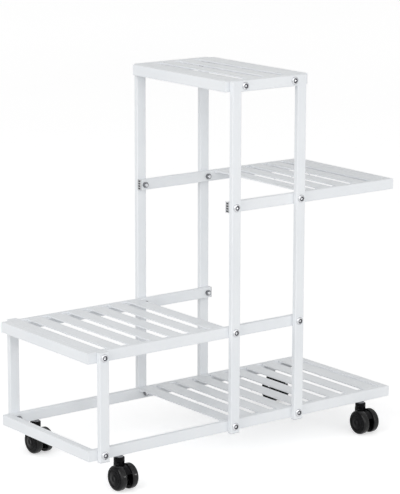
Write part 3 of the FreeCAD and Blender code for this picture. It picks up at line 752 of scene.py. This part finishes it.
def make_world():
    """A surround that lights the stand, less from overhead, and shows as plain white."""
    world = bpy.data.worlds.new("surround")
    bpy.context.scene.world = world
    world.use_nodes = True
    tree = world.node_tree
    background = tree.nodes["Background"]
    background.inputs["Color"].default_value = (1, 1, 1, 1)
    direction = tree.nodes.new("ShaderNodeTexCoord")
    parts = tree.nodes.new("ShaderNodeSeparateXYZ")
    tree.links.new(direction.outputs["Generated"], parts.inputs["Vector"])
    height = tree.nodes.new("ShaderNodeMapRange")
    height.inputs["To Min"].default_value = HORIZON_LEVEL
    height.inputs["To Max"].default_value = OVERHEAD_LEVEL
    tree.links.new(parts.outputs["Z"], height.inputs["Value"])
    level = tree.nodes.new("ShaderNodeMapRange")
    level.inputs["To Max"].default_value = 1.0
    tree.links.new(shown_plainly(tree), level.inputs["Value"])
    tree.links.new(height.outputs["Result"], level.inputs["To Min"])
    tree.links.new(level.outputs["Result"], background.inputs["Strength"])


def place_lamp(lamp, place, look):
    """Hang a lamp at a place, shining along the look direction."""
    holder = bpy.data.objects.new(lamp.name, lamp)
    bpy.context.scene.collection.objects.link(holder)
    holder.location = place
    holder.rotation_mode = "QUATERNION"
    holder.rotation_quaternion = Vector(look).to_track_quat("-Z", "Y")


def add_sun(name, look, strength, spread):
    """A broad far lamp; strength 1 lights a white face square to it fully white."""
    lamp = bpy.data.lights.new(name, "SUN")
    lamp.energy = strength * math.pi
    lamp.angle = math.radians(spread)
    place_lamp(lamp, (0, 0, 3), look)


def add_softbox(name, place, watts, wide):
    """A square lamp near the stand and facing it, so that it lights the near side most."""
    lamp = bpy.data.lights.new(name, "AREA")
    lamp.size = wide
    lamp.energy = watts
    place_lamp(lamp, place, LAMPS_AIM - Vector(place))


def make_lamps():
    """Soft light from the front and the left, and a small lamp on the right that glints on wheels."""
    add_sun("front_sun", look=(0.35, 0.88, -0.38), strength=0.20, spread=50.0)
    add_sun("left_sun", look=(0.90, 0.30, -0.38), strength=0.14, spread=50.0)
    add_softbox("front_softbox", place=(0.4, -1.8, 1.2), watts=2.8, wide=1.2)
    add_softbox("right_softbox", place=(0.72, -1.50, 0.42), watts=1.9, wide=0.15)
    add_softbox("left_softbox", place=(-1.7, -0.4, 1.3), watts=9.0, wide=1.2)


def make_camera():
    """The photograph's camera, as fitted to the stand's corners in it."""
    data = bpy.data.cameras.new("camera")
    data.sensor_fit = "AUTO"
    data.sensor_width = SENSOR_WIDTH
    data.lens = FOCAL_PIXELS * SENSOR_WIDTH / max(IMAGE_SIZE)
    data.clip_start = 0.05
    data.clip_end = 100.0
    camera = bpy.data.objects.new("camera", data)
    bpy.context.scene.collection.objects.link(camera)
    camera.location = CAMERA_PLACE
    camera.rotation_mode = "QUATERNION"
    level = CAMERA_LOOK.to_track_quat("-Z", "Y").to_matrix().to_4x4()
    camera.rotation_quaternion = (level @ Matrix.Rotation(CAMERA_ROLL, 4, "Z")).to_quaternion()
    bpy.context.scene.camera = camera


# ---------------------------------------------------------------- the scene
white = white_coat()
gloss = gloss_black()
tread = tread_black()
black_plug = plug_moulding("plug_black", (0.018, 0.018, 0.018, 1), (0.032, 0.032, 0.033, 1))
# dark grey for the plugs' pockets: painted shade, not the plugs' own colour
pocket_painted_shade = plug_moulding("pocket_painted_shade", (0.045, 0.045, 0.048, 1), (0.075, 0.075, 0.078, 1))
white_plug = plug_moulding("plug_white", (0.66, 0.67, 0.69, 1), (0.72, 0.73, 0.745, 1))
bolt_steel = plated_steel("bolt_steel", (0.50, 0.51, 0.53, 1), (0.64, 0.65, 0.67, 1), 0.18, 0.32)
zinc_steel = plated_steel("zinc_steel", (0.55, 0.56, 0.57, 1), (0.70, 0.71, 0.72, 1), 0.24, 0.40)
# dark steel for the stems and nuts: a painted dark reflection, standing in for the dark room that plated
# steel reflects
steel_painted_dark = plated_steel("steel_painted_dark", (0.16, 0.165, 0.175, 1), (0.26, 0.265, 0.28, 1), 0.22, 0.36)
# very dark steel for the socket walls and mouths: painted shade in the socket and a painted dark
# reflection round it
socket_painted_shade = plated_steel("socket_painted_shade", (0.035, 0.035, 0.04, 1), (0.08, 0.08, 0.09, 1), 0.25, 0.4)
BY_SLOT = {"white_coat": white, "caster_black": gloss, "plug_black": black_plug,
           "plug_white": white_plug, "bolt_steel": bolt_steel, "zinc_steel": zinc_steel}

for subpart in frame["record"]["subparts"]:
    node = NODES[subpart["node"]]
    wear(node, BY_SLOT[subpart["material_slot"]])

for name, node in NODES.items():
    if name.endswith(("_slats", "_caps")):
        round_edges(node, SLAT_EDGE)
    elif name.endswith(("_rail", "_end_tube", "_leg", "_top_bar")):
        round_edges(node, TUBE_EDGE)
    elif name.endswith("_stem"):
        # stems get the steel painted dark as a painted dark reflection
        wear(node, steel_painted_dark)

# nuts get the steel painted dark as a painted dark reflection; sockets get painted shade
for side, inwards in (("front", 1), ("rear", -1)):
    fasteners(side, inwards, bolt_steel, socket_painted_shade, steel_painted_dark)
foot_plugs(white_plug)
rail_plugs(white_plug, pocket_painted_shade)
for prefix in ("base", "left_shelf", "right_shelf", "top"):
    tack_welds(prefix, white)
for caster in CASTERS:
    caster_fork(caster, gloss)
    caster_axle(caster, zinc_steel)
    for side in ("left", "right"):
        caster_wheel(caster, side, gloss, tread)

make_stage()
make_world()
make_lamps()
make_camera()

bpy.context.scene.view_settings.view_transform = "Standard"
bpy.context.view_layer.update()
